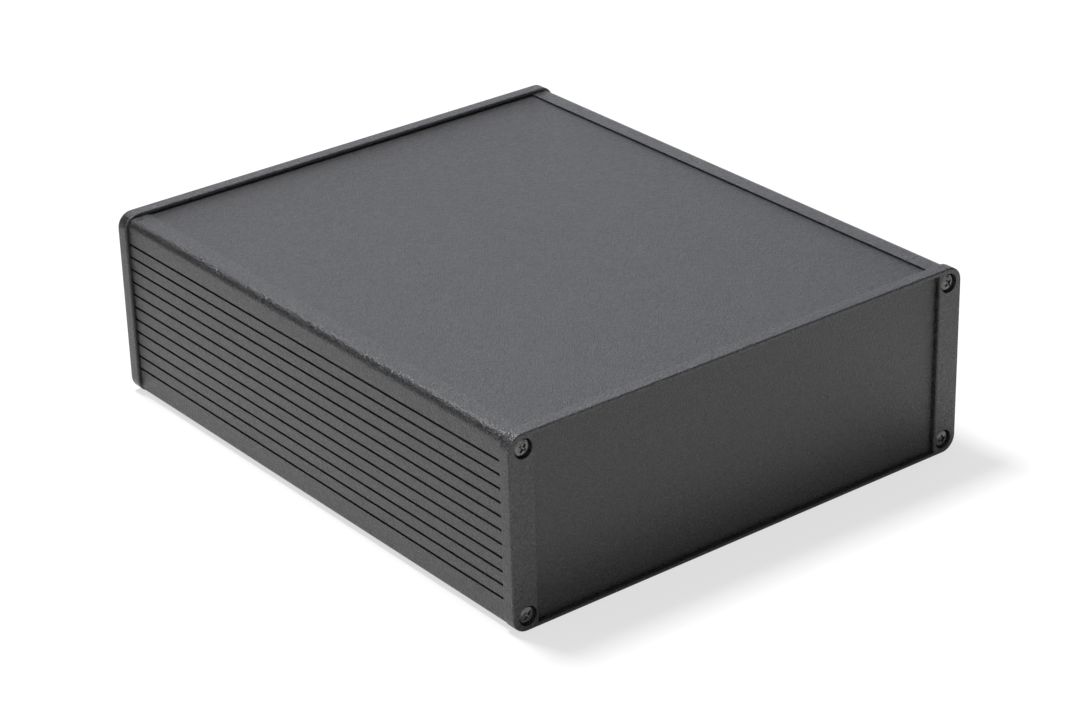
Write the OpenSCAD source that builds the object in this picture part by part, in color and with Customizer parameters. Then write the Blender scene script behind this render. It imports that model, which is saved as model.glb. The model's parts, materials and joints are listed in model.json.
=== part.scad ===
// Extruded aluminium instrument enclosure: a U-shaped extrusion with a slide-in
// cover, closed at each end by a flat panel held in a screwed bezel.
// Millimetres, +Z up, front face towards -Y, origin at the middle of the base.

/* [Overall] */
// Width over the bezels
overall_w = 188; // [120:1:260]
// Depth over the bezels
overall_d = 220; // [100:1:400]
// Height over the bezels
overall_h = 68; // [48:1:120]

/* [Extrusion] */
// How far the bezels stand proud of the extrusion all round
bezel_proud = 1.2; // [0.6:0.1:1.6]
// Thickness of the side walls
side_wall = 2.4; // [1.8:0.1:3.4]
// Thickness of the floor
floor_t = 2; // [1.5:0.1:4]
// Radius of the long upper edges
top_edge_r = 3.2; // [1:0.1:4]
// Radius of the long lower edges
bottom_edge_r = 2; // [1:0.1:2.4]
// Width of the top rail, from the outside of the wall
rail_w = 8.5; // [8:0.1:12]

/* [Side grooves] */
// Width of one groove
groove_w = 0.8; // [0.4:0.1:1.5]
// Depth of one groove
groove_deep = 0.7; // [0.3:0.1:1]
// Distance from groove to groove
groove_pitch = 4.76; // [3:0.01:9]
// Height of the lowest groove above the ground
groove_first_z = 10.2; // [7:0.1:14]
// Plain band kept between the top groove and the rounded upper edge
groove_top_band = 5; // [2:0.1:12]

/* [Cover] */
// Thickness of the cover
cover_t = 2.5; // [2.2:0.1:3]
// How far the cover lies below the rails
cover_sink = 0.6; // [0.3:0.1:0.8]
// Gap between the cover's edge and the rail
cover_gap = 0.2; // [0.1:0.05:0.4]
// Thickness of the tongues that run in the rails
tongue_t = 1.4; // [1:0.1:1.6]
// How far each tongue reaches under its rail
tongue_reach = 1.6; // [1:0.1:1.7]
// Clearance above each tongue and beyond its edge
tongue_clear = 0.15; // [0.05:0.05:0.3]
// Thickness of the lip that carries each tongue
lip_t = 1.4; // [1:0.1:2]
// How far the lip reaches in past the rail
lip_reach = 1.5; // [0.5:0.1:4]

/* [Bezels] */
// Thickness of a bezel, front to back
bezel_t = 5; // [4.6:0.1:8]
// Radius of a bezel's four outer corners
bezel_corner_r = 5.5; // [3:0.1:7]
// Radius of a bezel's edges
bezel_edge_r = 0.6; // [0.3:0.1:0.8]
// How far a bezel's screw columns reach in past the rails behind them
column_over = 0.1; // [0:0.05:3]
// Thickness of the rims above and below the panel
rim_t = 1.35; // [1:0.05:2.4]
// How far a bezel reaches over the end of the extrusion
skirt_l = 1; // [0.5:0.1:1.6]
// Clearance between a bezel's skirt and the extrusion
skirt_clear = 0.15; // [0.05:0.05:0.3]

/* [End panels] */
// Thickness of an end panel
panel_t = 2.5; // [1.5:0.1:3.2]
// How far a panel's side tongues reach behind the columns
panel_lap = 1.5; // [0.8:0.1:4]
// Distance between a panel's side tongues and the sunk screw holes
panel_lap_off = 1.2; // [0.5:0.1:6]
// Clearance between a panel and its bezel
panel_clear = 0.15; // [0.05:0.05:0.4]

/* [Screws] */
// Distance of a screw from the side of the bezel
screw_side = 5.7; // [5:0.1:6.2]
// Distance of a screw from the top or the bottom of the bezel
screw_edge = 5.2; // [4.8:0.1:7]
// Thread diameter
thread_d = 3; // [2.5:0.1:3.2]
// Length under the head
screw_len = 12; // [8:1:20]
// Diameter of the head
head_d = 5.6; // [4.6:0.1:6]
// Height of the head
head_h = 2.2; // [1.6:0.1:2.6]
// Radius of the domed top of the head
head_dome_r = 5; // [3.5:0.1:9]
// How far the crown of the head lies below the face of the bezel
head_sunk = 0.2; // [0.1:0.1:0.6]
// Diameter of the sunk hole round the head
sink_d = 6.8; // [6.4:0.1:7.2]
// Clearance round the thread in its channel
thread_clear = 0.05; // [0.02:0.01:0.2]
// Clearance round the shank where it passes through the bezel
shank_clear = 0.2; // [0.1:0.05:0.3]
// Length of one bar of the cross recess
recess_l = 3.2; // [2:0.1:3.6]
// Width of one bar of the cross recess
recess_w = 0.75; // [0.5:0.05:1]
// Depth of the middle of the cross recess below the crown of the head
recess_deep = 1.4; // [0.8:0.1:1.6]

/* [Screw channels] */
// Wall round a screw channel's bore
channel_wall = 1.45; // [1.2:0.05:2]
// Width of the slit along a screw channel
channel_slit = 1.4; // [0.8:0.1:1.8]

/* [Board guides] */
// Width of one board slot
board_slot = 1.8; // [1.2:0.1:2.4]
// Thickness of one guide rib
guide_t = 1.2; // [0.8:0.1:2]
// How far a guide rib reaches in from the wall
guide_reach = 2.6; // [1.5:0.1:3.5]
// Height of the lowest board slot above the ground
guide_first_z = 13; // [12:0.5:20]
// Distance from board slot to board slot
guide_pitch = 10; // [6:0.5:20]

/* [Hidden] */

// Facets on round outlines; a multiple of four, so that arcs meet flats exactly
arc_fn = 64;
// How far a cutting tool runs past the face it opens
cut = 0.5;

FRONT = 0;
REAR = 180;

// Depths from the outer face of each end to the end of the extrusion and to the panel
body_face = bezel_t - skirt_l;
panel_face = body_face - panel_t;

// Extrusion
body_x = overall_w / 2 - bezel_proud;
body_top = overall_h - bezel_proud;
body_bottom = bezel_proud;
body_l = overall_d - 2 * body_face;
wall_in_x = body_x - side_wall;
floor_top = body_bottom + floor_t;

// Rails and cover
rail_in_x = body_x - rail_w;
cover_x = rail_in_x - cover_gap;
tongue_x = cover_x + tongue_reach;
cover_bottom = body_top - cover_sink - cover_t;
slot_x = tongue_x + tongue_clear;
slot_h = tongue_t + tongue_clear;
lip_bottom = cover_bottom - lip_t;
lip_in_x = rail_in_x - lip_reach;

// Columns, which line up with the rails, and the panel's tongues behind them
column_in_x = rail_in_x - column_over;
lap_x = column_in_x + panel_lap;
lap_low_z = screw_edge + sink_d / 2 + panel_lap_off;

// Screws: one row per corner, as the side, the height and the turn of the recess
screw_x = overall_w / 2 - screw_side;
screw_low_z = screw_edge;
screw_high_z = overall_h - screw_edge;
SCREWS = [[-1, screw_high_z, 50], [-1, screw_low_z, 42], [1, screw_high_z, 38], [1, screw_low_z, 12]];
seat_deep = head_sunk + head_h;
thread_bore_r = thread_d / 2 + thread_clear;
channel_r = thread_bore_r + channel_wall;

// Grooves and board guides
groove_last_z = body_top - top_edge_r - groove_top_band;
groove_n = max(0, floor((groove_last_z - groove_first_z) / groove_pitch) + 1);
guide_last_z = screw_high_z - channel_r - board_slot / 2 - 2 * guide_t;
guide_n = max(0, floor((guide_last_z - guide_first_z) / guide_pitch) + 1);

BODY_BLACK = [0.27, 0.27, 0.28];
COVER_BLACK = [0.30, 0.30, 0.31];
BEZEL_BLACK = [0.25, 0.25, 0.27];
PANEL_BLACK = [0.19, 0.19, 0.20];
SCREW_BLACK = [0.36, 0.36, 0.37];

// Stands an outline drawn in X and Z upright and runs it along Y
module upright(from, length)
    translate([0, from + length, 0]) rotate([90, 0, 0]) linear_extrude(length) children();

// Draws its children and their mirror image in X
module both_sides() {
    children();
    mirror([1, 0, 0]) children();
}

// Puts its children, drawn from Y = 0 inwards, at the front or the rear end
module at_end(end)
    rotate([0, 0, end]) translate([0, -overall_d / 2, 0]) children();

// ---------------------------------------------------------------- extrusion

// Outside of the extrusion with its rounded long edges, grown by a clearance
module body_outline(grow = 0) {
    x = body_x + grow;
    low = body_bottom - grow;
    high = body_top + grow;
    low_r = bottom_edge_r + grow;
    high_r = top_edge_r + grow;
    translate([-x, low + low_r]) square([2 * x, high - high_r - low - low_r]);
    translate([-x + low_r, low]) square([2 * (x - low_r), high - high_r - low]);
    translate([-x + high_r, low + low_r]) square([2 * (x - high_r), high - low - low_r]);
    both_sides() {
        translate([x - high_r, high - high_r]) circle(high_r, $fn = arc_fn);
        translate([x - low_r, low + low_r]) circle(low_r, $fn = arc_fn);
    }
}

// Inside of the U, open at the top between the two rails
module body_hollow() {
    translate([-wall_in_x, floor_top]) square([2 * wall_in_x, lip_bottom - floor_top]);
    translate([-lip_in_x, floor_top]) square([2 * lip_in_x, body_top - floor_top + cut]);
    translate([-rail_in_x, cover_bottom]) square([2 * rail_in_x, body_top - cover_bottom + cut]);
    translate([-slot_x, cover_bottom]) square([2 * slot_x, slot_h]);
}

// The two ribs that hold one edge of a board
module guide_pair(z)
    for (side = [-1, 1])
        translate([wall_in_x - guide_reach, z + side * (board_slot + guide_t) / 2 - guide_t / 2])
            square([guide_reach + side_wall / 2, guide_t]);

// The bosses of the two screw channels on one side
module channel_bosses()
    for (z = [screw_low_z, screw_high_z]) translate([screw_x, z]) circle(channel_r, $fn = arc_fn);

// The bores of the two screw channels on one side, each slit towards the inside
module channel_bores() {
    slit_h = channel_r + cut;
    for (z = [screw_low_z, screw_high_z]) translate([screw_x, z]) circle(thread_bore_r, $fn = arc_fn);
    for (z = [screw_low_z, screw_high_z - slit_h])
        translate([screw_x - channel_slit / 2, z]) square([channel_slit, slit_h]);
}

// What stands on the inside of one wall, kept below the cover and off the outside
module wall_fittings()
    intersection() {
        union() {
            channel_bosses();
            for (i = [0 : 1 : guide_n - 1]) guide_pair(guide_first_z + i * guide_pitch);
        }
        translate([0, floor_top - floor_t / 2])
            square([body_x - side_wall / 4, cover_bottom - floor_top + floor_t / 2]);
    }

// The grooves of one outer face
module side_grooves()
    for (i = [0 : 1 : groove_n - 1])
        translate([body_x - groove_deep, groove_first_z + i * groove_pitch - groove_w / 2])
            square([groove_deep + cut, groove_w]);

module body_section()
    difference() {
        union() {
            difference() {
                body_outline();
                body_hollow();
            }
            both_sides() wall_fittings();
        }
        both_sides() {
            channel_bores();
            side_grooves();
        }
    }

module body_shell() color(BODY_BLACK) upright(-body_l / 2, body_l) body_section();

// Cover plate with a tongue along each edge
module cover_section() {
    translate([-cover_x, cover_bottom]) square([2 * cover_x, cover_t]);
    translate([-tongue_x, cover_bottom]) square([2 * tongue_x, tongue_t]);
}

module top_cover() color(COVER_BLACK) upright(-body_l / 2, body_l) cover_section();

// -------------------------------------------------------- bezels and panels

// Rectangle with rounded corners, centred in X and starting at Y = 0
module soft_rect(w, h, r) {
    translate([-w / 2 + r, 0]) square([w - 2 * r, h]);
    translate([-w / 2, r]) square([w, h - 2 * r]);
    for (x = [-w / 2 + r, w / 2 - r], y = [r, h - r]) translate([x, y]) circle(r, $fn = arc_fn);
}

// One outer corner of a bezel: a quarter of a disc with a rounded rim
module bezel_corner()
    rotate_extrude(angle = 90, $fn = arc_fn) intersection() {
        soft_rect(2 * bezel_corner_r, bezel_t, bezel_edge_r);
        square([bezel_corner_r, bezel_t]);
    }

// Closed plate with rounded corners and edges, standing upright, its face at Y = 0
module bezel_blank() {
    inner_w = overall_w - 2 * bezel_corner_r;
    inner_h = overall_h - 2 * bezel_corner_r;
    translate([0, 0, bezel_corner_r]) linear_extrude(inner_h)
        soft_rect(overall_w, bezel_t, bezel_edge_r);
    translate([-inner_w / 2, 0, overall_h / 2]) rotate([90, 0, 90]) linear_extrude(inner_w)
        rotate(-90) soft_rect(overall_h, bezel_t, bezel_edge_r);
    both_sides() for (flip = [0, 1])
        translate([inner_w / 2, bezel_t, overall_h / 2]) mirror([0, 0, flip])
            translate([0, 0, inner_h / 2]) rotate([90, 0, 0]) bezel_corner();
}

// Plan of the window between the columns, with the columns' front edges rounded
module window_plan() {
    translate([-column_in_x, -cut]) square([2 * column_in_x, panel_face + 2 * cut]);
    both_sides() difference() {
        translate([column_in_x - cut, -cut]) square([cut + bezel_edge_r, cut + bezel_edge_r]);
        translate([column_in_x + bezel_edge_r, bezel_edge_r]) circle(bezel_edge_r, $fn = arc_fn);
    }
}

// Outline of a panel's place in its bezel, with the side tongues behind the columns
module panel_outline(clear = 0) {
    x = column_in_x - clear;
    z = rim_t + clear;
    tongue_end_x = lap_x - clear;
    tongue_z = lap_low_z + clear;
    translate([-x, z]) square([2 * x, overall_h - 2 * z]);
    translate([-tongue_end_x, tongue_z]) square([2 * tongue_end_x, overall_h - 2 * tongue_z]);
}

// Turns the Z axis of its children along each screw, into the enclosure
module at_screws()
    for (s = SCREWS) translate([s[0] * screw_x, 0, s[1]]) rotate([-90, 0, 0]) children();

module bezel()
    difference() {
        bezel_blank();
        translate([0, 0, rim_t]) linear_extrude(overall_h - 2 * rim_t) window_plan();
        upright(panel_face, panel_t + cut) panel_outline();
        upright(body_face, skirt_l + cut) body_outline(skirt_clear);
        at_screws() {
            translate([0, 0, -cut]) cylinder(d = sink_d, h = seat_deep + cut, $fn = arc_fn);
            cylinder(r = thread_d / 2 + shank_clear, h = body_face + cut, $fn = arc_fn);
        }
    }

module front_bezel() color(BEZEL_BLACK) at_end(FRONT) bezel();
module rear_bezel() color(BEZEL_BLACK) at_end(REAR) bezel();

module panel() upright(panel_face, panel_t) panel_outline(panel_clear);

module front_panel() color(PANEL_BLACK) at_end(FRONT) panel();
module rear_panel() color(PANEL_BLACK) at_end(REAR) panel();

// -------------------------------------------------------------------- screws

// Crossed bars of the recess, from Z = 0 down to a depth
module recess_cross(length, deep)
    for (turn = [0, 90]) rotate(turn)
        translate([-length / 2, -recess_w / 2, -cut]) cube([length, recess_w, deep + cut]);

// Pan-head screw, its crown at Z = 0 and its thread towards +Z
module pan_screw()
    difference() {
        union() {
            rotate_extrude($fn = arc_fn) intersection() {
                square([head_d / 2, head_h]);
                translate([0, head_dome_r]) circle(head_dome_r, $fn = 2 * arc_fn);
            }
            translate([0, 0, head_h / 2])
                cylinder(d = thread_d, h = head_h / 2 + screw_len, $fn = arc_fn);
        }
        recess_cross(recess_l, recess_deep / 2);
        recess_cross(recess_l * 2 / 3, recess_deep);
    }

module end_screw(end, s)
    color(SCREW_BLACK) at_end(end) translate([s[0] * screw_x, head_sunk, s[1]])
        rotate([-90, 0, 0]) rotate(s[2]) pan_screw();

body_shell();
top_cover();
front_bezel();
rear_bezel();
front_panel();
rear_panel();
for (i = [0 : len(SCREWS) - 1]) {
    end_screw(FRONT, SCREWS[i]);
    end_screw(REAR, SCREWS[i]);
}
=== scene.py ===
"""Looks of the extruded aluminium enclosure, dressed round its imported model.

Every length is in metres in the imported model's own frame: +X to the right seen from the
front, +Y from the front to the rear, +Z up, with the origin at the middle of the base.
"""

import json
import logging
import math
from dataclasses import dataclass, field
from enum import Enum
from typing import Any

import bmesh
import bpy
import numpy as np
from mathutils import Matrix, Vector

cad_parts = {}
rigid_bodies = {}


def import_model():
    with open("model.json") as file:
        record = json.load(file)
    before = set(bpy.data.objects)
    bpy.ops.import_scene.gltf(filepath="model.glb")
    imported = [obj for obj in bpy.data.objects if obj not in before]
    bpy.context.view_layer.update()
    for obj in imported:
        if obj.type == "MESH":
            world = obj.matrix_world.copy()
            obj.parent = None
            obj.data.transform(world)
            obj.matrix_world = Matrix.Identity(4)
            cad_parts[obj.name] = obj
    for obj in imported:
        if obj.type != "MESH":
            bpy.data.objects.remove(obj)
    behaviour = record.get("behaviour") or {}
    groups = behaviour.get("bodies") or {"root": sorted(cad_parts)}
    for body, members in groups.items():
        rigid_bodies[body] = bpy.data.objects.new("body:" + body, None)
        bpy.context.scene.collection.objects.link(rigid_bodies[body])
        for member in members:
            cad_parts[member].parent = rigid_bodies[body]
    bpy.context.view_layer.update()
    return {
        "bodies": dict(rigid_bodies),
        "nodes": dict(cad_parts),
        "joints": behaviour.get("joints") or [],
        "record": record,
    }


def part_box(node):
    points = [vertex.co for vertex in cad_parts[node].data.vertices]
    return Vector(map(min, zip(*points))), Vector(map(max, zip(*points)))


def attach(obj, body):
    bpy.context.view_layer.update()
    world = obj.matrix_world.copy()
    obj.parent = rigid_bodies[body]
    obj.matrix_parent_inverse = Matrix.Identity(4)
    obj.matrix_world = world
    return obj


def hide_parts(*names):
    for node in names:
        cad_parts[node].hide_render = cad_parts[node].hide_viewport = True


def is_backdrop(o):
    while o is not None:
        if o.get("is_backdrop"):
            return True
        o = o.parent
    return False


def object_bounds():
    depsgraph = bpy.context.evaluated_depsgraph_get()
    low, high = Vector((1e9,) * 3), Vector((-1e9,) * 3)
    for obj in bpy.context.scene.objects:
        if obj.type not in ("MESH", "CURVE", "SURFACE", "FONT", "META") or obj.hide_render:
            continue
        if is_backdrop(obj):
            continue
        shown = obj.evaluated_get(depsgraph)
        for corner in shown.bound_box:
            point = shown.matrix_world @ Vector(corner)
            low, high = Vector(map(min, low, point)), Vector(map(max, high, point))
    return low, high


BODY = "root"
MM = 0.001

log = logging.getLogger("enclosure")


class End(Enum):
    """The two ends of the enclosure, as the side of Y that each faces."""

    FRONT = -1
    REAR = 1


# ------------------------------------------------------------------ shader maths


class Signal:
    """A number that varies over a surface, usable in Python expressions."""

    def __init__(self, graph: "Graph", socket: bpy.types.NodeSocket) -> None:
        """Wraps an output socket of one of the graph's nodes."""
        self.graph = graph
        self.socket = socket

    def _math(self, operation: str, first: Any, second: Any) -> "Signal":
        """Adds a Math node.

        Args:
            operation: the node's operation.
            first: its first value, a number or a signal.
            second: its second value, a number or a signal.

        Returns:
            The node's result.
        """
        return self.graph.number("ShaderNodeMath", {"operation": operation}, {0: first, 1: second})

    def __add__(self, other: Any) -> "Signal":
        """Sum."""
        return self._math("ADD", self, other)

    def __radd__(self, other: Any) -> "Signal":
        """Sum with a plain number in front."""
        return self._math("ADD", other, self)

    def __sub__(self, other: Any) -> "Signal":
        """Difference."""
        return self._math("SUBTRACT", self, other)

    def __rsub__(self, other: Any) -> "Signal":
        """Difference with a plain number in front."""
        return self._math("SUBTRACT", other, self)

    def __mul__(self, other: Any) -> "Signal":
        """Product."""
        return self._math("MULTIPLY", self, other)

    def __rmul__(self, other: Any) -> "Signal":
        """Product with a plain number in front."""
        return self._math("MULTIPLY", other, self)

    def at_least(self, other: Any) -> "Signal":
        """The greater of two values."""
        return self._math("MAXIMUM", self, other)

    def step(self, low: float, high: float) -> "Signal":
        """Goes smoothly from 0 at low to 1 at high, or the other way round if low is above high."""
        ends = {"Value": self, "From Min": low, "From Max": high}
        return self.graph.number("ShaderNodeMapRange", {"interpolation_type": "SMOOTHSTEP"}, ends)


class Graph:
    """The node tree of one material or of the world, emptied and ready to fill."""

    def __init__(self, tree: bpy.types.NodeTree) -> None:
        """Takes over a node tree and clears it."""
        self.tree = tree
        tree.nodes.clear()

    def node(self, kind: str, settings: dict[str, Any], inputs: dict[Any, Any]) -> bpy.types.Node:
        """Adds a node of any type.

        Args:
            kind: the node's type.
            settings: its properties, set before its sockets.
            inputs: values, signals or output sockets, by the name or number of the input socket.

        Returns:
            The node.
        """
        made = self.tree.nodes.new(kind)
        for name, value in settings.items():
            setattr(made, name, value)
        for name, value in inputs.items():
            source = value.socket if isinstance(value, Signal) else value
            if isinstance(source, bpy.types.NodeSocket):
                self.tree.links.new(source, made.inputs[name])
            else:
                made.inputs[name].default_value = source
        return made

    def number(self, kind: str, settings: dict[str, Any], inputs: dict[Any, Any]) -> Signal:
        """Adds a node and returns its first output as a signal."""
        return Signal(self, self.node(kind, settings, inputs).outputs[0])

    def noise(self, place: bpy.types.NodeSocket, size: float, detail: float = 2.0) -> Signal:
        """Soft random field from 0 to 1.

        Args:
            place: the coordinates it follows.
            size: width of its lumps.
            detail: how many finer layers it has.

        Returns:
            The field.
        """
        values = {"Vector": place, "Scale": 1.0 / size, "Detail": detail, "Roughness": 0.55}
        return self.number("ShaderNodeTexNoise", {"noise_dimensions": "3D"}, values)

    def specks(self, place: bpy.types.NodeSocket, pitch: float, size: float) -> Signal:
        """Small round specks, 1 inside and 0 outside.

        Args:
            place: the coordinates they follow.
            pitch: usual distance from speck to speck.
            size: diameter of one speck.

        Returns:
            The mask.
        """
        cell = {"Vector": place, "Scale": 1.0 / pitch, "Randomness": 1.0}
        distance = self.number("ShaderNodeTexVoronoi", {"feature": "F1"}, cell)
        radius = size / pitch / 2
        return distance.step(radius, radius * 0.4)

    def blend(self, amount: Signal, first: Any, second: Any) -> bpy.types.NodeSocket:
        """Mixes two colours.

        Args:
            amount: 0 for the first colour, 1 for the second.
            first: colour or socket.
            second: colour or socket.

        Returns:
            The mixed colour.
        """
        mix = self.node("ShaderNodeMix", {"data_type": "RGBA"}, {0: amount, 6: first, 7: second})
        return mix.outputs[2]


def rgba(colour: tuple[float, float, float], share: float = 1.0) -> tuple[float, ...]:
    """A colour scaled by a share, with full alpha."""
    return (*(channel * share for channel in colour), 1.0)


def new_material(name: str) -> tuple[bpy.types.Material, Graph]:
    """A new material by that name and its empty graph."""
    material = bpy.data.materials.new(name)
    material.use_nodes = True
    return material, Graph(material.node_tree)


# ---------------------------------------------------------------------- finishes


@dataclass(frozen=True)
class PowderCoat:
    """A fine-textured powder coat: a soft sheen over close, shallow grain."""

    name: str
    colour: tuple[float, float, float]
    roughness: float
    grain: float = 0.6 * MM
    relief: float = 0.36 * MM
    mottle: float = 1.5
    fleck: float = 0.5
    fleck_pitch: float = 5.0 * MM
    fleck_share: float = 0.7
    fleck_lift: float = 0.16
    wave_share: float = 3.2
    cloud_share: float = 60.0
    cloud_mottle: float = 0.12
    sheen_spread: float = 0.12
    ior: float = 1.5

    def build(self) -> bpy.types.Material:
        """Builds the coat.

        Returns:
            The material. Its height is close grain over wider, shallower waves; its colour
            follows the grain a little, and stray flecks are lighter.
        """
        material, graph = new_material(self.name)
        place = graph.node("ShaderNodeTexCoord", {}, {}).outputs["Object"]
        grain = graph.noise(place, self.grain)
        waves = graph.noise(place, self.wave_share * self.grain, detail=1.0)
        cloud = graph.noise(place, self.cloud_share * self.grain, detail=3.0)
        fleck = graph.specks(place, self.fleck_pitch, self.fleck_share * self.grain)
        shade = (grain - 0.5) * self.mottle * 2 + (cloud - 0.5) * self.cloud_mottle + 0.5
        body = graph.blend(shade, rgba(self.colour, 0.15), rgba(self.colour, 1.85))
        light = tuple(min(1.0, channel + self.fleck_lift) for channel in self.colour)
        colour = graph.blend(fleck * self.fleck, body, rgba(light))
        height = grain * 0.9 + waves * 0.25 + fleck * 0.25
        bump = graph.node(
            "ShaderNodeBump", {}, {"Strength": 1.0, "Distance": self.relief, "Height": height}
        )
        shader = graph.node(
            "ShaderNodeBsdfPrincipled",
            {},
            {
                "Base Color": colour,
                "Roughness": (waves - 0.5) * self.sheen_spread + self.roughness,
                "IOR": self.ior,
                "Normal": bump.outputs[0],
            },
        )
        graph.node("ShaderNodeOutputMaterial", {}, {"Surface": shader.outputs[0]})
        return material


@dataclass(frozen=True)
class BlackOxide:
    """Black oxide on turned steel: dark metal with a fairly sharp sheen."""

    name: str
    colour: tuple[float, float, float]
    roughness: float

    def build(self) -> bpy.types.Material:
        """Builds the finish.

        Returns:
            The material. Fine turning marks and a patchy oxide vary its colour and sheen.
        """
        material, graph = new_material(self.name)
        place = graph.node("ShaderNodeTexCoord", {}, {}).outputs["Object"]
        patches = graph.noise(place, 0.9 * MM, detail=3.0)
        marks = graph.noise(place, 0.12 * MM, detail=1.0)
        colour = graph.blend(patches, rgba(self.colour, 0.55), rgba(self.colour, 1.45))
        bump = graph.node(
            "ShaderNodeBump", {}, {"Strength": 1.0, "Distance": 0.004 * MM, "Height": marks}
        )
        shader = graph.node(
            "ShaderNodeBsdfPrincipled",
            {},
            {
                "Base Color": colour,
                "Metallic": 0.85,
                "Roughness": (patches - 0.5) * 0.2 + self.roughness,
                "Normal": bump.outputs[0],
            },
        )
        graph.node("ShaderNodeOutputMaterial", {}, {"Surface": shader.outputs[0]})
        return material


BODY_COAT = PowderCoat("body_coat_black", (0.031, 0.031, 0.0325), 0.32)
COVER_COAT = PowderCoat("cover_coat_black", (0.026, 0.026, 0.0275), 0.36)
BEZEL_COAT = PowderCoat("bezel_coat_black", (0.031, 0.031, 0.0325), 0.33, relief=0.38 * MM)
PANEL_COAT = PowderCoat("panel_coat_black", (0.0145, 0.0145, 0.015), 0.28, relief=0.26 * MM)
SCREW_OXIDE = BlackOxide("screw_black_oxide", (0.12, 0.117, 0.115), 0.17)


def dress(piece: bpy.types.Object, material: bpy.types.Material) -> None:
    """Puts one material on a whole piece."""
    if not piece.material_slots:
        piece.data.materials.append(material)
    for slot in piece.material_slots:
        slot.material = material


# ------------------------------------------------------------------ mesh building


def signed_volume(points: np.ndarray, quads: np.ndarray, fans: np.ndarray) -> float:
    """Six times the volume that the faces enclose, negative where they face inwards.

    Args:
        points: the vertices, one row each.
        quads: four-cornered faces as vertex numbers.
        fans: three-cornered faces as vertex numbers.

    Returns:
        The sum over all triangles of corner a dot (corner b cross corner c).
    """
    triangles = np.concatenate((quads[:, (0, 1, 2)], quads[:, (0, 2, 3)], fans))
    first, second, third = (points[triangles[:, corner]] for corner in range(3))
    return float(np.sum(first * np.cross(second, third)))


def closed_grid(name: str, grid: np.ndarray, start: np.ndarray, end: np.ndarray) -> bpy.types.Object:
    """Makes a closed skin from a grid of rings and a pole at each end.

    Args:
        name: the piece's name.
        grid: points by ring and column, each ring joined up on itself.
        start: the pole before the first ring.
        end: the pole after the last ring.

    Returns:
        The piece, with its faces pointing outwards.
    """
    rings, columns = grid.shape[:2]
    points = np.concatenate((grid.reshape(-1, 3), start[None], end[None]))
    ring, column = np.meshgrid(np.arange(rings - 1), np.arange(columns), indexing="ij")
    here = (ring * columns + column).ravel()
    beside = (ring * columns + (column + 1) % columns).ravel()
    quads = np.stack((here, beside, beside + columns, here + columns), axis=1)
    around = np.arange(columns)
    ahead = (around + 1) % columns
    last = (rings - 1) * columns
    first_pole, last_pole = np.full(columns, rings * columns), np.full(columns, rings * columns + 1)
    fans = np.concatenate(
        (
            np.stack((ahead, around, first_pole), axis=1),
            np.stack((last + around, last + ahead, last_pole), axis=1),
        )
    )
    if signed_volume(points - points.mean(axis=0), quads, fans) < 0:
        quads, fans = quads[:, ::-1], fans[:, ::-1]
    mesh = bpy.data.meshes.new(name)
    mesh.from_pydata(points.tolist(), [], quads.tolist() + fans.tolist())
    return placed(name, mesh, math.radians(38))


def placed(name: str, mesh: bpy.types.Mesh, sharp_angle: float) -> bpy.types.Object:
    """Puts a finished mesh in the scene, smooth except across edges sharper than an angle."""
    mesh.shade_smooth()
    mesh.set_sharp_from_angle(angle=sharp_angle)
    piece = bpy.data.objects.new(name, mesh)
    bpy.context.scene.collection.objects.link(piece)
    return piece


def smooth_step(value: np.ndarray, low: float, high: float) -> np.ndarray:
    """Rises from 0 at low to 1 at high: with t the share of the way, t squared times (3 - 2 t)."""
    share = np.clip((value - low) / (high - low), 0.0, 1.0)
    return share * share * (3.0 - 2.0 * share)


# ------------------------------------------------------------------------ pieces


@dataclass
class EasedPart:
    """A cut or moulded part, made from its own solid with every sharp edge eased."""

    node: str
    name: str
    slot: str
    finish: bpy.types.Material
    ease: float = 0.15 * MM
    steps: int = 2
    merge: float = 0.001 * MM
    flat_deg: float = 0.5
    edge_deg: float = 32.0

    def outline(self, source: bpy.types.Object) -> bpy.types.Mesh:
        """Joins up the solid's loose triangles and clears the lines across its flat faces.

        Args:
            source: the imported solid's own object, which isn't changed.

        Returns:
            The mesh. Points that agree once rounded to the merging distance are one point.
        """
        loose = source.data
        points = np.empty(len(loose.vertices) * 3)
        loose.vertices.foreach_get("co", points)
        corner = np.empty(len(loose.loops), dtype=np.int64)
        loose.loops.foreach_get("vertex_index", corner)
        points = points.reshape(-1, 3)
        cells = np.round(points / self.merge).astype(np.int64)
        first, joined = np.unique(cells, axis=0, return_index=True, return_inverse=True)[1:]
        triangles = joined.ravel()[corner].reshape(-1, 3)
        mesh = bpy.data.meshes.new(self.name)
        mesh.from_pydata(points[first].tolist(), [], triangles.tolist())
        form = bmesh.new()
        form.from_mesh(mesh)
        bmesh.ops.dissolve_limit(
            form, angle_limit=math.radians(self.flat_deg), verts=form.verts, edges=form.edges
        )
        form.to_mesh(mesh)
        form.free()
        return mesh

    def build(self, frame: dict[str, Any]) -> bpy.types.Object:
        """Builds the part.

        Args:
            frame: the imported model.

        Returns:
            The piece, standing for its solid. A bevel of the easing width runs along every
            edge sharper than the edge angle.
        """
        piece = placed(self.name, self.outline(frame["nodes"][self.node]), math.radians(self.edge_deg))
        bevel = piece.modifiers.new("eased_edges", "BEVEL")
        bevel.width = self.ease
        bevel.segments = self.steps
        bevel.limit_method = "ANGLE"
        bevel.angle_limit = math.radians(self.edge_deg)
        bevel.harden_normals = True
        bevel.use_clamp_overlap = True
        finish_piece(piece, self.finish, self.node)
        return piece


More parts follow.
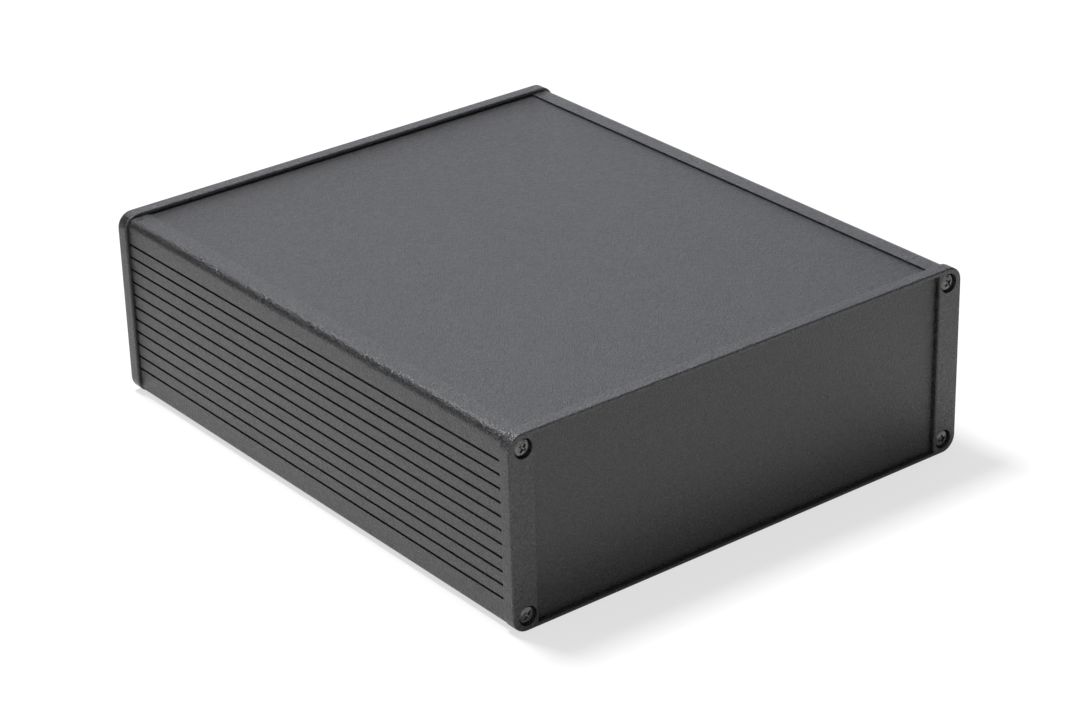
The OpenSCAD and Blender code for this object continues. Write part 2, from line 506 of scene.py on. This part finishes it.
@dataclass
class PanScrew:
    """A pan-head screw with a cross recess: one polar grid from the head's top to the tip."""

    node: str
    name: str
    end: End
    turn_deg: float
    finish: bpy.types.Material
    slot: str = "screw_black"
    columns: int = 128
    crown: float = 0.6 * MM
    rim: float = 0.24 * MM
    head_depth: float = 2.2 * MM
    core_share: float = 0.82
    shank_share: float = 0.536
    pitch: float = 0.5 * MM
    reach: float = 1.62 * MM
    arm: float = 0.34 * MM
    well: float = 0.72 * MM
    recess_depth: float = 1.25 * MM
    wall: float = 0.17 * MM
    tip: float = 0.5 * MM

    def head(self, radius: float) -> tuple[np.ndarray, np.ndarray]:
        """Rings of the head's outside.

        Args:
            radius: the head's radius.

        Returns:
            Radius and depth of each ring. The crown's depth grows with the square of the
            radius; a quarter circle turns it into the side.
        """
        flat = np.linspace(0.06 * MM, radius - self.rim, 30)
        turn = np.linspace(0.0, math.pi / 2, 7)[1:]
        brow = self.crown * (flat[-1] / radius) ** 2
        radii = (flat, radius - self.rim + self.rim * np.sin(turn), np.array((radius, radius - 0.1 * MM)))
        depths = (
            self.crown * (flat / radius) ** 2,
            brow + self.rim * (1 - np.cos(turn)),
            np.array((self.head_depth - 0.1 * MM, self.head_depth)),
        )
        return np.concatenate(radii), np.concatenate(depths)

    def recess(self, across: np.ndarray, up: np.ndarray) -> np.ndarray:
        """Depth of the cross recess below the head's crown.

        Args:
            across: places along one arm.
            up: places along the other arm.

        Returns:
            The depth: each arm is a smooth step across its width times one along its length,
            shallower outwards, and a round well joins the two arms.
        """
        depth = np.zeros_like(across)
        for along, beside in ((across, up), (up, across)):
            width = smooth_step(-np.abs(beside), -self.arm - self.wall / 2, -self.arm + self.wall / 2)
            length = smooth_step(-np.abs(along), -self.reach, -self.reach + 2 * self.wall)
            slope = 1.0 - 0.5 * np.minimum(np.abs(along) / self.reach, 1.0)
            depth = np.maximum(depth, width * length * slope)
        middle = smooth_step(-np.hypot(across, up), -self.well - self.wall / 2, -self.well + self.wall / 2)
        return self.recess_depth * np.maximum(depth, middle * 0.85)

    def thread(self, radius: float, length: float, angle: np.ndarray) -> tuple[np.ndarray, np.ndarray]:
        """Rings of the threaded shank.

        Args:
            radius: outside radius of the thread.
            length: depth of the tip below the head's top.
            angle: the angle of each column.

        Returns:
            Radius by ring and column, and depth by ring. The ridge is a triangle wave of the
            turn count less the depth over the pitch, and fades out at both ends.
        """
        rows = int((length - self.head_depth) / self.pitch * 6)
        depth = np.linspace(self.head_depth, length - self.tip, rows)[1:]
        phase = (angle[None, :] / (2 * math.pi) - depth[:, None] / self.pitch) % 1.0
        ridge = 1.0 - np.abs(2.0 * phase - 1.0)
        fade = smooth_step(depth, self.head_depth, self.head_depth + self.pitch)
        fade = fade * smooth_step(-depth, -length + self.tip, -length + self.tip + 2 * self.pitch)
        core = radius * self.core_share
        return core + (radius - core) * ridge * fade[:, None], depth

    def build(self) -> bpy.types.Object:
        """Builds the screw, standing for its solid, with its recess at its own turn."""
        low, high = (np.array(corner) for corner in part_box(self.node))
        middle = (low + high) / 2
        face = low[1] if self.end is End.FRONT else high[1]
        inward = -self.end.value
        radius = (high[0] - low[0]) / 2
        length = high[1] - low[1]
        angle = np.linspace(0.0, 2 * math.pi, self.columns, endpoint=False)
        head_radii, head_depths = self.head(radius)
        radii = np.repeat(head_radii[:, None], self.columns, axis=1)
        turned = angle[None, :] - math.radians(self.turn_deg)
        depths = head_depths[:, None] + self.recess(radii * np.cos(turned), radii * np.sin(turned))
        shank_radii, shank_depths = self.thread(radius * self.shank_share, length, angle)
        tip_radii = np.full((1, self.columns), radius * self.shank_share * 0.5)
        radii = np.concatenate((radii, shank_radii, tip_radii))
        shank = np.repeat(shank_depths[:, None], self.columns, axis=1)
        depths = np.concatenate((depths, shank, np.full((1, self.columns), length)))
        grid = np.stack(
            (
                middle[0] + radii * np.cos(angle),
                face + inward * depths,
                middle[2] + radii * np.sin(angle),
            ),
            axis=-1,
        )
        top = np.array((middle[0], face + inward * depths[0, 0], middle[2]))
        bottom = np.array((middle[0], face + inward * length, middle[2]))
        piece = closed_grid(self.name, grid, top, bottom)
        finish_piece(piece, self.finish, self.node)
        return piece


def finish_piece(piece: bpy.types.Object, finish: bpy.types.Material, node: str) -> None:
    """Dresses a new piece, puts it on the body, hides the solid it stands for and logs which solid that is.
    """
    dress(piece, finish)
    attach(piece, BODY)
    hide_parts(node)
    log.info("%s for %s: %d faces", piece.name, node, len(piece.data.polygons))


@dataclass
class Enclosure:
    """The extruded case: shell, sliding cover, and an end frame, panel and screws at each end."""

    finishes: dict[str, bpy.types.Material]
    turns_deg: tuple[float, float, float, float] = (50.0, 42.0, 38.0, 12.0)

    def eased(self, node: str, slot: str, ease: float) -> EasedPart:
        """A part with eased edges, named after its node."""
        return EasedPart(node, f"{node}_eased", slot, self.finishes[slot], ease)

    def screw(self, node: str, end: End) -> PanScrew:
        """A screw whose turn goes by its place: left or right, high or low."""
        low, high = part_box(node)
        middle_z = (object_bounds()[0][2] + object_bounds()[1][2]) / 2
        place = 2 * int(low[0] + high[0] > 0) + int((low[2] + high[2]) / 2 < middle_z)
        turn = self.turns_deg[place]
        return PanScrew(node, f"{node}_cross", end, turn, self.finishes["screw_black"])

    def build(self, frame: dict[str, Any]) -> None:
        """Builds every piece in order.

        Args:
            frame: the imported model.
        """
        parts = [
            self.eased("body_shell", "body_coat", 0.12 * MM),
            self.eased("top_cover", "cover_coat", 0.2 * MM),
        ]
        for end in End:
            side = end.name.lower()
            parts.append(self.eased(f"{side}_bezel", "bezel_coat", 0.15 * MM))
            parts.append(self.eased(f"{side}_panel", "panel_coat", 0.15 * MM))
        for part in parts:
            part.build(frame)
        for row in frame["record"]["subparts"]:
            node = row["node"]
            if row["material_slot"] == "screw_black":
                end = End.FRONT if node.startswith("front") else End.REAR
                self.screw(node, end).build()


# ------------------------------------------------------------------------ studio


@dataclass
class StudioCamera:
    """The camera, aimed from a direction at a point on the object."""

    target: tuple[float, float, float] = (-0.0006, -0.0054, 0.0246)
    azimuth_deg: float = -37.65
    elevation_deg: float = 26.3
    roll_deg: float = -1.47
    distance: float = 1.0676
    lens_mm: float = 104.5
    sensor_mm: float = 36.0

    def build(self) -> bpy.types.Object:
        """Builds the camera and makes it the scene's own.

        Returns:
            The camera. It looks along the direction at that azimuth from +Y towards +X, that
            far below the horizon, and leans by the roll about its own axis.
        """
        azimuth = math.radians(-self.azimuth_deg)
        elevation = math.radians(self.elevation_deg)
        forward = Vector(
            (
                math.sin(azimuth) * math.cos(elevation),
                math.cos(azimuth) * math.cos(elevation),
                -math.sin(elevation),
            )
        )
        right = forward.cross(Vector((0, 0, 1))).normalized()
        up = right.cross(forward)
        lean = Matrix.Rotation(-math.radians(self.roll_deg), 3, forward)
        axes = Matrix((lean @ right, lean @ up, -forward)).transposed().to_4x4()
        data = bpy.data.cameras.new("studio_camera")
        data.lens = self.lens_mm
        data.sensor_width = self.sensor_mm
        data.clip_end = 50.0
        camera = bpy.data.objects.new("studio_camera", data)
        camera.matrix_world = Matrix.Translation(Vector(self.target) - forward * self.distance) @ axes
        bpy.context.scene.collection.objects.link(camera)
        bpy.context.scene.camera = camera
        return camera


@dataclass
class SoftBox:
    """A rectangular lamp that faces a point."""

    name: str
    place: tuple[float, float, float]
    aim: tuple[float, float, float]
    width: float
    height: float
    watts: float

    def build(self) -> bpy.types.Object:
        """Builds the lamp, facing its aim."""
        data = bpy.data.lights.new(self.name, "AREA")
        data.shape = "RECTANGLE"
        data.size = self.width
        data.size_y = self.height
        data.energy = self.watts
        lamp = bpy.data.objects.new(self.name, data)
        way = Vector(self.aim) - Vector(self.place)
        turn = way.to_track_quat("-Z", "Y").to_matrix().to_4x4()
        lamp.matrix_world = Matrix.Translation(self.place) @ turn
        bpy.context.scene.collection.objects.link(lamp)
        return lamp


@dataclass
class Card:
    """A flat dark card that only the glossy surfaces mirror."""

    name: str
    place: tuple[float, float, float]
    aim: tuple[float, float, float]
    width: float
    height: float
    colour: tuple[float, float, float]

    def build(self) -> bpy.types.Object:
        """Builds the card, facing its aim."""
        way = (Vector(self.aim) - Vector(self.place)).normalized()
        turn = way.to_track_quat("-Z", "Y").to_matrix().to_4x4()
        card = plane(self.name, self.width, self.height)
        card.data.transform(Matrix.Translation(self.place) @ turn)
        card.visible_camera = False
        card.visible_diffuse = False
        card.visible_shadow = False
        material, graph = new_material(self.name)
        shader = graph.node("ShaderNodeBsdfDiffuse", {}, {"Color": rgba(self.colour)})
        graph.node("ShaderNodeOutputMaterial", {}, {"Surface": shader.outputs[0]})
        dress(card, material)
        return card


def plane(name: str, width: float, height: float) -> bpy.types.Object:
    """A flat level rectangle, marked as part of the studio.

    Args:
        name: its name.
        width: its size along X.
        height: its size along Y.

    Returns:
        The rectangle, centred on the origin and facing up.
    """
    corners = np.array(((-1, -1, 0), (1, -1, 0), (1, 1, 0), (-1, 1, 0)), float)
    mesh = bpy.data.meshes.new(name)
    mesh.from_pydata((corners * (width / 2, height / 2, 1)).tolist(), [], [(0, 1, 2, 3)])
    sheet = bpy.data.objects.new(name, mesh)
    bpy.context.scene.collection.objects.link(sheet)
    sheet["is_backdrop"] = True
    return sheet


@dataclass
class Studio:
    """Pale floor, pale surroundings and plain soft light."""

    floor_colour: tuple[float, float, float] = (0.88, 0.88, 0.88)
    sky_tint: tuple[float, float, float] = (0.96, 0.98, 1.06)
    sky_dimming: float = 0.4
    floor_lift: float = 0.66
    floor_gap: float = 0.05 * MM
    mirror_lift: float = 0.1
    ambient: float = 0.35
    lamps: list[SoftBox] = field(
        default_factory=lambda: [
            SoftBox("overhead_lamp", (-0.15, 0.45, 1.6), (0, 0, 0), 0.34, 0.34, 32.0),
        ]
    )
    cards: list[Card] = field(
        default_factory=lambda: [
            Card("right_card", (1.235, -0.4, 0.78), (0, 0, 0.05), 2.9, 1.5, (0.01, 0.01, 0.01)),
            Card("left_rear_card", (-0.285, 0.3, 0.21), (0.05, -0.07, 0.21), 0.75, 0.42, (0.01, 0.01, 0.01)),
        ]
    )

    def background_rays(self, graph: Graph) -> tuple[Signal, Signal]:
        """Masks of the rays that see the background: from the camera, and by gloss or glass."""
        path = graph.node("ShaderNodeLightPath", {}, {})
        glossy = Signal(graph, path.outputs["Is Glossy Ray"])
        through = Signal(graph, path.outputs["Is Transmission Ray"])
        return Signal(graph, path.outputs["Is Camera Ray"]), glossy.at_least(through)

    def build_floor(self) -> bpy.types.Object:
        """Builds the floor: a matt pale sheet whose shadow is softened where it is seen."""
        floor = plane("studio_floor", 12.0, 12.0)
        floor.data.transform(Matrix.Translation((0, 0, -self.floor_gap)))
        material, graph = new_material("studio_floor")
        camera, mirror = self.background_rays(graph)
        matt = graph.node("ShaderNodeBsdfDiffuse", {}, {"Color": rgba(self.floor_colour)})
        white = graph.node("ShaderNodeEmission", {}, {"Strength": 1.0})
        lift = camera * self.floor_lift + mirror * self.mirror_lift
        mix = graph.node("ShaderNodeMixShader", {}, {0: lift, 1: matt.outputs[0], 2: white.outputs[0]})
        graph.node("ShaderNodeOutputMaterial", {}, {"Surface": mix.outputs[0]})
        dress(floor, material)
        return floor

    def build_world(self) -> None:
        """Builds the surroundings: white to the eye and in gloss, dimmer as a light."""
        world = bpy.data.worlds.new("studio_world")
        world.use_nodes = True
        graph = Graph(world.node_tree)
        camera, mirror = self.background_rays(graph)
        fill, seen, mirrored = (
            graph.node("ShaderNodeBackground", {}, {"Color": rgba(colour), "Strength": strength})
            for colour, strength in (
                ((1.0, 1.0, 1.0), self.ambient),
                ((1.0, 1.0, 1.0), 1.0),
                (self.sky_tint, 1.0),
            )
        )
        way = graph.node("ShaderNodeTexCoord", {}, {}).outputs["Generated"]
        height = Signal(graph, graph.node("ShaderNodeSeparateXYZ", {}, {"Vector": way}).outputs["Z"])
        sky = 1.1 - self.sky_dimming * height.step(0.38, 0.56)
        graph.tree.links.new(sky.socket, mirrored.inputs["Strength"])
        gloss = graph.node(
            "ShaderNodeMixShader", {}, {0: mirror, 1: fill.outputs[0], 2: mirrored.outputs[0]}
        )
        mix = graph.node("ShaderNodeMixShader", {}, {0: camera, 1: gloss.outputs[0], 2: seen.outputs[0]})
        graph.node("ShaderNodeOutputWorld", {}, {"Surface": mix.outputs[0]})
        bpy.context.scene.world = world

    def build(self) -> None:
        """Builds the whole studio."""
        self.build_floor()
        self.build_world()
        for item in (*self.lamps, *self.cards):
            item.build()
            log.info("studio: %s", item.name)


# -------------------------------------------------------------------------- main


def corners(bounds: tuple[Vector, Vector]) -> list[list[float]]:
    """A box's two corners as plain lists."""
    return [list(corner) for corner in bounds]


def main() -> None:
    """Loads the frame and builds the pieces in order."""
    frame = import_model()
    bpy.context.scene.view_settings.view_transform = "Standard"
    StudioCamera().build()
    Studio().build()
    coats = {
        "body_coat": BODY_COAT,
        "cover_coat": COVER_COAT,
        "bezel_coat": BEZEL_COAT,
        "panel_coat": PANEL_COAT,
        "screw_black": SCREW_OXIDE,
    }
    finishes = {slot: finish.build() for slot, finish in coats.items()}
    for row in frame["record"]["subparts"]:
        dress(frame["nodes"][row["node"]], finishes[row["material_slot"]])
    Enclosure(finishes).build(frame)


if __name__ == "__main__":
    logging.basicConfig(level=logging.INFO, format="%(name)s: %(message)s")
    main()
